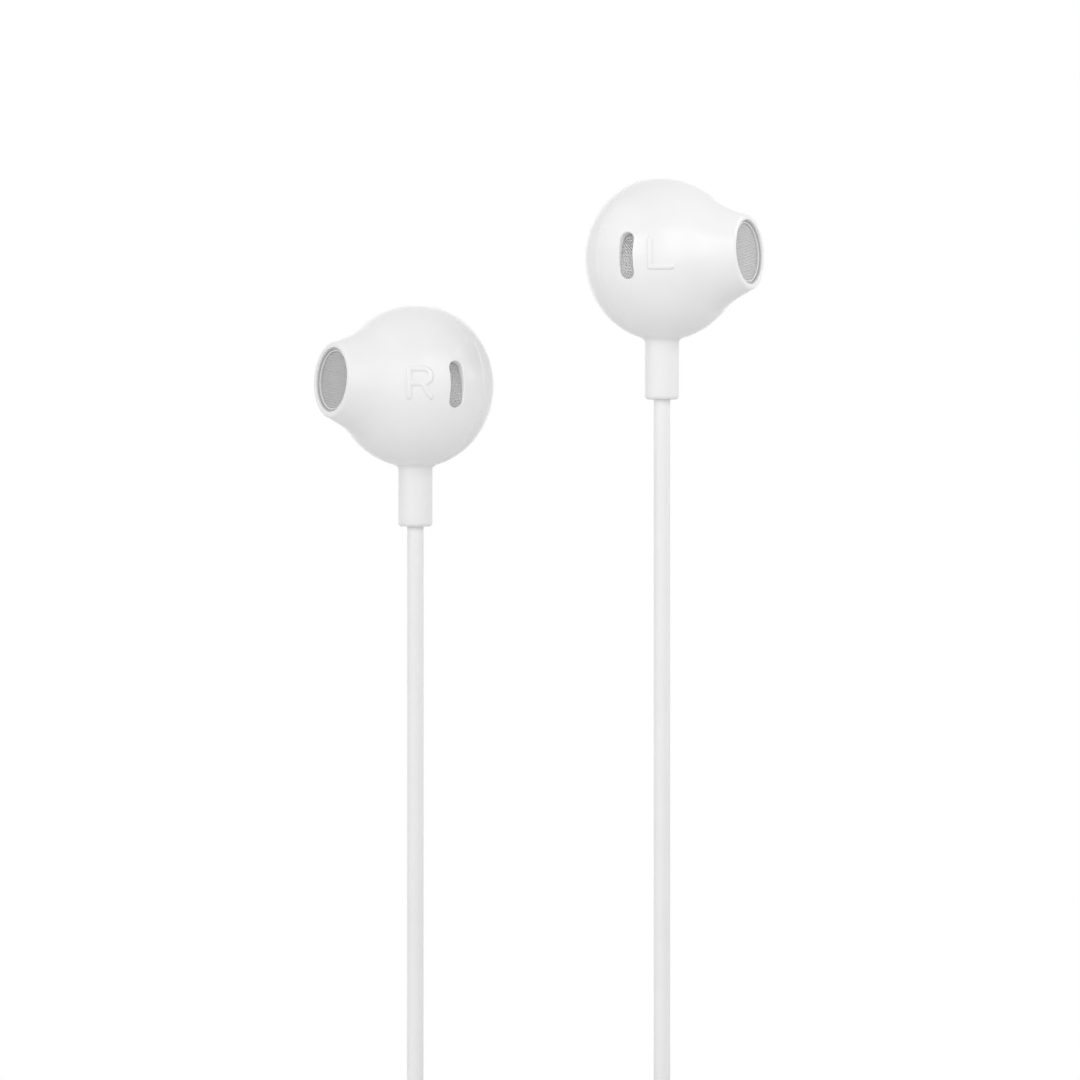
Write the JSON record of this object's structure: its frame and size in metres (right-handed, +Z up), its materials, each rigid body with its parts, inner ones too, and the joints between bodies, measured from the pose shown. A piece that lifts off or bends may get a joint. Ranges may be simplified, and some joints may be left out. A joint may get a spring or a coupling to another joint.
{
  "type": "wired earphones",
  "caption": "White half-in-ear wired earphones with angled nozzles, side vents, moulded cable boots, splitter, wound cable and stereo plug.",
  "frame": {"origin": "centre of the left bud's round housing, where the ear holds it", "axes": "+Z up along the hanging leads, +X from the right bud towards the left bud, -Y towards the picture's camera, the side the vents and nozzles face"},
  "size_m": [0.046, 0.0255, 0.1647],
  "materials": {
    "housing_white": "glossy injection-moulded white ABS",
    "ring_white": "white moulded ring",
    "grille_mesh": "fine woven stainless mesh",
    "vent_mesh": "fine woven stainless mesh",
    "boot_white": "satin white elastomer",
    "cable_white": "smooth satin white cable jacket",
    "strap_white": "matt white silicone",
    "driver_plastic": "black moulded plastic",
    "driver_steel": "zinc-plated steel",
    "magnet_nickel": "nickel-plated magnet",
    "copper_wire": "enamelled copper wire",
    "film": "thin clear polymer film",
    "felt": "pressed felt",
    "gasket_foam": "closed-cell foam",
    "board": "green solder mask",
    "plug_metal": "nickel-plated brass",
    "insulator_white": "white moulded insulator"
  },
  "bodies": {
    "root": {"cable_splitter": "boot_white", "cable_strap": "strap_white", "left_cable_boot": "boot_white", "left_cable_crimp": "driver_steel", "left_damping_felt": "felt", "left_driver_cover": "driver_plastic", "left_driver_frame": "driver_plastic", "left_driver_gasket": "gasket_foam", "left_front_housing": "housing_white", "left_grille_ring": "ring_white", "left_lead": "cable_white", "left_lead_coil": "cable_white", "left_lead_tail": "cable_white", "left_lead_wires": "copper_wire", "left_magnet": "magnet_nickel", "left_nozzle_grille": "grille_mesh", "left_pole_plate": "driver_steel", "left_rear_cover": "housing_white", "left_surround": "film", "left_terminal_board": "board", "left_vent_mesh": "vent_mesh", "left_yoke": "driver_steel", "main_cable_coil": "cable_white", "main_cable_end": "cable_white", "main_cable_loop": "cable_white", "plug_contact_ring": "plug_metal", "plug_core": "plug_metal", "plug_grip": "boot_white", "plug_insulators": "insulator_white", "plug_sleeve": "plug_metal", "plug_tip": "plug_metal", "right_cable_boot": "boot_white", "right_cable_crimp": "driver_steel", "right_damping_felt": "felt", "right_driver_cover": "driver_plastic", "right_driver_frame": "driver_plastic", "right_driver_gasket": "gasket_foam", "right_front_housing": "housing_white", "right_grille_ring": "ring_white", "right_lead": "cable_white", "right_lead_coil": "cable_white", "right_lead_tail": "cable_white", "right_lead_wires": "copper_wire", "right_magnet": "magnet_nickel", "right_nozzle_grille": "grille_mesh", "right_pole_plate": "driver_steel", "right_rear_cover": "housing_white", "right_surround": "film", "right_terminal_board": "board", "right_vent_mesh": "vent_mesh", "right_yoke": "driver_steel"},
    "left_cone": {"left_diaphragm": "film", "left_voice_coil": "copper_wire"},
    "right_cone": {"right_diaphragm": "film", "right_voice_coil": "copper_wire"}
  },
  "joints": [
    {"name": "left_cone_travel", "type": "slide", "parent": "root", "child": "left_cone", "axis": [0.6018, -0.7986, 0], "range_m": [-0.00025, 0.00025], "stiffness_N_per_m": 20},
    {"name": "right_cone_travel", "type": "slide", "parent": "root", "child": "right_cone", "axis": [-0.5373, -0.8434, 0], "range_m": [-0.00025, 0.00025], "stiffness_N_per_m": 20}
  ]
}
